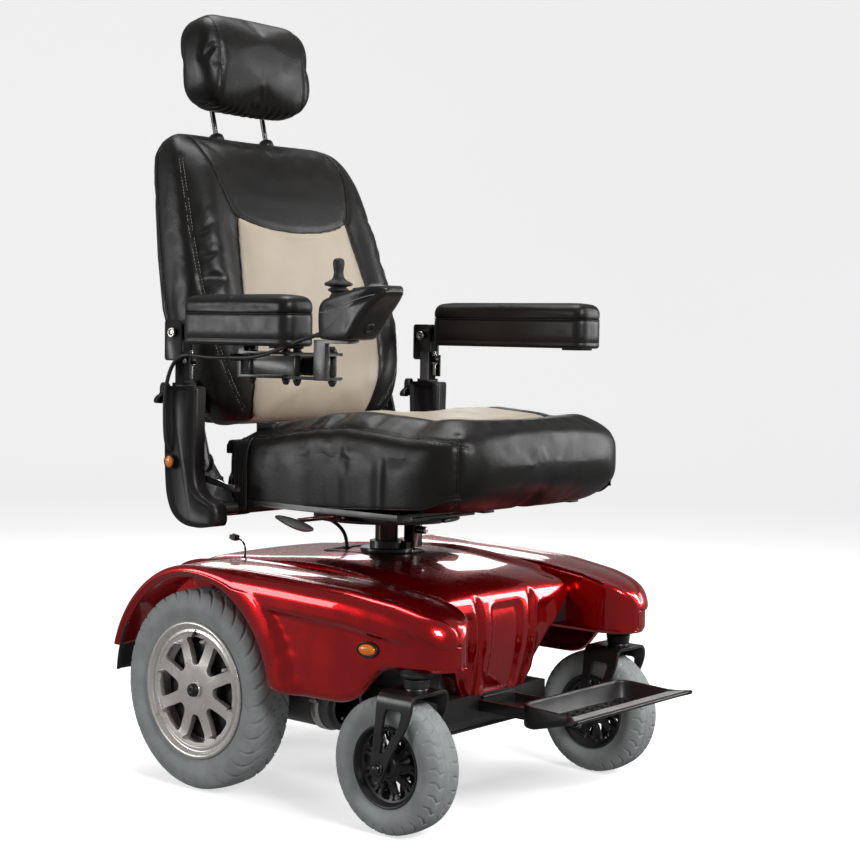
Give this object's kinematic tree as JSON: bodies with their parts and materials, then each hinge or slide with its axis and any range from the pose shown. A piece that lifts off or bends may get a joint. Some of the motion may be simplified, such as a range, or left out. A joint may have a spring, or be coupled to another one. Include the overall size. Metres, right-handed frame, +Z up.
{
  "type": "power wheelchair",
  "caption": "Power wheelchair: captain's seat on a swivel post, reclining back, headrest, flip-up arms, swing-away joystick, large drive wheels behind, casters in front.",
  "frame": {"origin": "on the ground, under the middle of the whole chair's box", "axes": "+Z up, front of the chair towards -Y, the user's left towards +X"},
  "size_m": [0.745, 1.01, 1.4202],
  "materials": {
    "frame_paint": "black powder coat, satin",
    "battery_case": "moulded, matte",
    "controller_case": "black anodised, fine cast grain",
    "motor_cast": "cast housing, dark grey paint",
    "motor_silver": "turned end cap, satin",
    "body_red": "metallic candy red under clear coat",
    "trim_black": "moulded edge trim, matte",
    "lamp_amber": "faceted amber lens, glossy",
    "cable_black": "smooth cable sheath",
    "connector_brown": "moulded connector",
    "drive_tyre_rubber": "non-marking grey tyre rubber, moulded tread",
    "wheel_silver": "cast and polished, clear coated",
    "hub_black": "hub cap",
    "fork_black": "cast, black powder coat",
    "caster_rim_black": "moulded, satin",
    "tip_rubber": "solid rubber",
    "boot_rubber": "ribbed rubber",
    "release_red": "moulded",
    "plate_black": "moulded, fine texture",
    "grip_grey": "ribbed grip strip",
    "lever_grey": "moulded, satin",
    "leather_black": "grained black upholstery leather, slight sheen",
    "leather_beige": "beige perforated upholstery leather",
    "stitch_white": "twin stitching thread",
    "chrome": "plated, polished",
    "bolt_steel": "zinc plated, bright",
    "cover_black": "moulded, fine leather-like texture",
    "post_black": "black powder coat, satin",
    "swing_black": "black powder coat, satin",
    "link_black": "black enamel",
    "control_black": "moulded, satin",
    "gimbal_metal": "machined",
    "stick_rubber": "soft rubber",
    "key_green": "moulded key",
    "dial_grey": "moulded dial",
    "gold_trim": "brass coloured ring"
  },
  "bodies": {
    "chassis": {"frame": "frame_paint", "batteries": "battery_case", "controller": "controller_case", "motor_left": "motor_cast", "motor_right": "motor_cast", "deck_shroud": "body_red", "side_shroud_left": "body_red", "side_shroud_right": "body_red", "side_lamps": "lamp_amber", "footplate_bracket": "frame_paint", "post_socket": "frame_paint", "service_lead": "cable_black"},
    "post": {"seat_post": "frame_paint", "seat_harness": "cable_black"},
    "swivel": {"swivel_plate": "frame_paint"},
    "swivel_handle": {"swivel_lever": "lever_grey"},
    "foot": {"footplate": "plate_black"},
    "seat": {"seat_frame": "frame_paint", "seat_cushion": "leather_black", "arm_column_left": "cover_black", "arm_column_right": "cover_black", "column_lamps": "lamp_amber"},
    "slide_handle": {"slide_lever": "chrome"},
    "recline_handle": {"recline_lever": "chrome"},
    "back": {"back_frame": "frame_paint", "back_cushion": "leather_black"},
    "headrest": {"headrest_posts": "chrome", "headrest_cushion": "leather_black"},
    "arm_left": {"arm_shell_left": "cover_black", "arm_pad_left": "leather_black"},
    "arm_right": {"arm_shell_right": "cover_black", "arm_pad_right": "leather_black", "swing_bracket": "swing_black", "stick_cable": "cable_black"},
    "link_rear": {"swing_link_rear": "link_black"},
    "link_front": {"swing_link_front": "link_black"},
    "stick_body": {"joystick_mount": "swing_black", "joystick_housing": "control_black"},
    "gimbal": {"gimbal_ring": "gimbal_metal"},
    "stick": {"joystick_stick": "stick_rubber"},
    "power_button": {"power_key": "key_green"},
    "speed_knob": {"speed_dial": "dial_grey"},
    "wheel_left": {"drive_tyre_left": "drive_tyre_rubber", "drive_rim_left": "wheel_silver"},
    "caster_swivel_left": {"caster_fork_left": "fork_black"},
    "caster_wheel_left": {"caster_tyre_left": "drive_tyre_rubber", "caster_rim_left": "caster_rim_black"},
    "tip_left": {"tip_wheel_left": "tip_rubber"},
    "release_left": {"release_lever_left": "release_red"},
    "arm_tube_left": {"arm_post_left": "post_black"},
    "knob_left": {"arm_knob_left": "cover_black"},
    "wheel_right": {"drive_tyre_right": "drive_tyre_rubber", "drive_rim_right": "wheel_silver"},
    "caster_swivel_right": {"caster_fork_right": "fork_black"},
    "caster_wheel_right": {"caster_tyre_right": "drive_tyre_rubber", "caster_rim_right": "caster_rim_black"},
    "tip_right": {"tip_wheel_right": "tip_rubber"},
    "release_right": {"release_lever_right": "release_red"},
    "arm_tube_right": {"arm_post_right": "post_black"},
    "knob_right": {"arm_knob_right": "cover_black"}
  },
  "joints": [
    {"name": "wheel_left_roll", "type": "hinge", "parent": "chassis", "child": "wheel_left", "pos_m": [0.3, 0.205, 0.178], "axis": [1, 0, 0], "continuous": true},
    {"name": "caster_left_swivel", "type": "hinge", "parent": "chassis", "child": "caster_swivel_left", "pos_m": [0.287, -0.275, 0.3], "axis": [0, 0, 1], "continuous": true},
    {"name": "caster_left_roll", "type": "hinge", "parent": "caster_swivel_left", "child": "caster_wheel_left", "pos_m": [0.287, -0.234, 0.114], "axis": [1, 0, 0], "continuous": true},
    {"name": "tip_left_roll", "type": "hinge", "parent": "chassis", "child": "tip_left", "pos_m": [0.127, 0.46, 0.068], "axis": [1, 0, 0], "continuous": true},
    {"name": "release_left_turn", "type": "hinge", "parent": "chassis", "child": "release_left", "pos_m": [0.2, 0.175, 0.245], "axis": [0, 0, 1], "range_deg": [0, 60]},
    {"name": "arm_left_height", "type": "slide", "parent": "seat", "child": "arm_tube_left", "axis": [0, 0, 1], "range_m": [0, 0.06]},
    {"name": "arm_left_flip", "type": "hinge", "parent": "arm_tube_left", "child": "arm_left", "pos_m": [0.335, 0.247, 0.809], "axis": [-1, 0, 0], "range_deg": [0, 95]},
    {"name": "knob_left_turn", "type": "hinge", "parent": "seat", "child": "knob_left", "pos_m": [0.331, 0.29, 0.697], "axis": [0, 1, 0], "continuous": true},
    {"name": "wheel_right_roll", "type": "hinge", "parent": "chassis", "child": "wheel_right", "pos_m": [-0.3, 0.205, 0.178], "axis": [1, 0, 0], "continuous": true},
    {"name": "caster_right_swivel", "type": "hinge", "parent": "chassis", "child": "caster_swivel_right", "pos_m": [-0.287, -0.275, 0.3], "axis": [0, 0, 1], "continuous": true},
    {"name": "caster_right_roll", "type": "hinge", "parent": "caster_swivel_right", "child": "caster_wheel_right", "pos_m": [-0.287, -0.234, 0.114], "axis": [1, 0, 0], "continuous": true},
    {"name": "tip_right_roll", "type": "hinge", "parent": "chassis", "child": "tip_right", "pos_m": [-0.127, 0.46, 0.068], "axis": [1, 0, 0], "continuous": true},
    {"name": "release_right_turn", "type": "hinge", "parent": "chassis", "child": "release_right", "pos_m": [-0.2, 0.175, 0.245], "axis": [0, 0, -1], "range_deg": [0, 60]},
    {"name": "arm_right_height", "type": "slide", "parent": "seat", "child": "arm_tube_right", "axis": [0, 0, 1], "range_m": [0, 0.06]},
    {"name": "arm_right_flip", "type": "hinge", "parent": "arm_tube_right", "child": "arm_right", "pos_m": [-0.335, 0.247, 0.809], "axis": [-1, 0, 0], "range_deg": [0, 95]},
    {"name": "knob_right_turn", "type": "hinge", "parent": "seat", "child": "knob_right", "pos_m": [-0.331, 0.29, 0.697], "axis": [0, 1, 0], "continuous": true},
    {"name": "footplate_fold", "type": "hinge", "parent": "chassis", "child": "foot", "pos_m": [0, -0.338, 0.174], "axis": [-1, 0, 0], "range_deg": [0, 90]},
    {"name": "seat_height", "type": "slide", "parent": "chassis", "child": "post", "axis": [0, 0, 1], "range_m": [0, 0.1]},
    {"name": "seat_swivel", "type": "hinge", "parent": "post", "child": "swivel", "pos_m": [0, 0.05, 0.483], "axis": [0, 0, 1], "range_deg": [-90, 90]},
    {"name": "swivel_lever_lift", "type": "hinge", "parent": "swivel", "child": "swivel_handle", "pos_m": [-0.148, 0.037, 0.487], "axis": [0, 1, 0], "range_deg": [0, 4], "stiffness_Nm_per_rad": 8},
    {"name": "seat_slide", "type": "slide", "parent": "swivel", "child": "seat", "axis": [0, 1, 0], "range_m": [-0.04, 0.04]},
    {"name": "slide_lever_lift", "type": "hinge", "parent": "seat", "child": "slide_handle", "pos_m": [-0.26, 0.236, 0.508], "axis": [-1, 0, 0], "range_deg": [0, 12], "stiffness_Nm_per_rad": 2},
    {"name": "recline_lever_lift", "type": "hinge", "parent": "seat", "child": "recline_handle", "pos_m": [-0.27, 0.226, 0.548], "axis": [-1, 0, 0], "range_deg": [0, 25], "stiffness_Nm_per_rad": 2},
    {"name": "backrest_recline", "type": "hinge", "parent": "seat", "child": "back", "pos_m": [0, 0.26, 0.575], "axis": [-1, 0, 0], "range_deg": [-25, 30]},
    {"name": "headrest_height", "type": "slide", "parent": "back", "child": "headrest", "axis": [0, 0.2419, 0.9703], "range_m": [0, 0.08]},
    {"name": "swing_rear_turn", "type": "hinge", "parent": "arm_right", "child": "link_rear", "pos_m": [-0.322, 0.076, 0.758], "axis": [0, 0, -1], "range_deg": [0, 90]},
    {"name": "swing_front_turn", "type": "hinge", "parent": "arm_right", "child": "link_front", "pos_m": [-0.3, 0.016, 0.758], "axis": [0, 0, -1], "range_deg": [0, 90]},
    {"name": "stick_mount_turn", "type": "hinge", "parent": "link_rear", "child": "stick_body", "pos_m": [-0.322, -0.032, 0.758], "axis": [0, 0, -1], "range_deg": [-90, 0]},
    {"name": "stick_tilt_fore_aft", "type": "hinge", "parent": "stick_body", "child": "gimbal", "pos_m": [-0.33, -0.132, 0.858], "axis": [1, 0, 0], "range_deg": [-15, 15], "stiffness_Nm_per_rad": 0.8},
    {"name": "stick_tilt_side", "type": "hinge", "parent": "gimbal", "child": "stick", "pos_m": [-0.33, -0.132, 0.858], "axis": [0, 1, 0], "range_deg": [-15, 15], "stiffness_Nm_per_rad": 0.8},
    {"name": "power_key_press", "type": "slide", "parent": "stick_body", "child": "power_button", "axis": [0, -0.0872, -0.9962], "range_m": [0, 0.0015], "stiffness_N_per_m": 400},
    {"name": "speed_dial_turn", "type": "hinge", "parent": "stick_body", "child": "speed_knob", "pos_m": [-0.316, -0.20101, 0.88465], "axis": [0, 0.0872, 0.9962], "range_deg": [-135, 135]}
  ],
  "couplings": [
    {"joint": "swing_front_turn", "follows": "swing_rear_turn", "ratio": 1},
    {"joint": "stick_mount_turn", "follows": "swing_rear_turn", "ratio": -1}
  ]
}
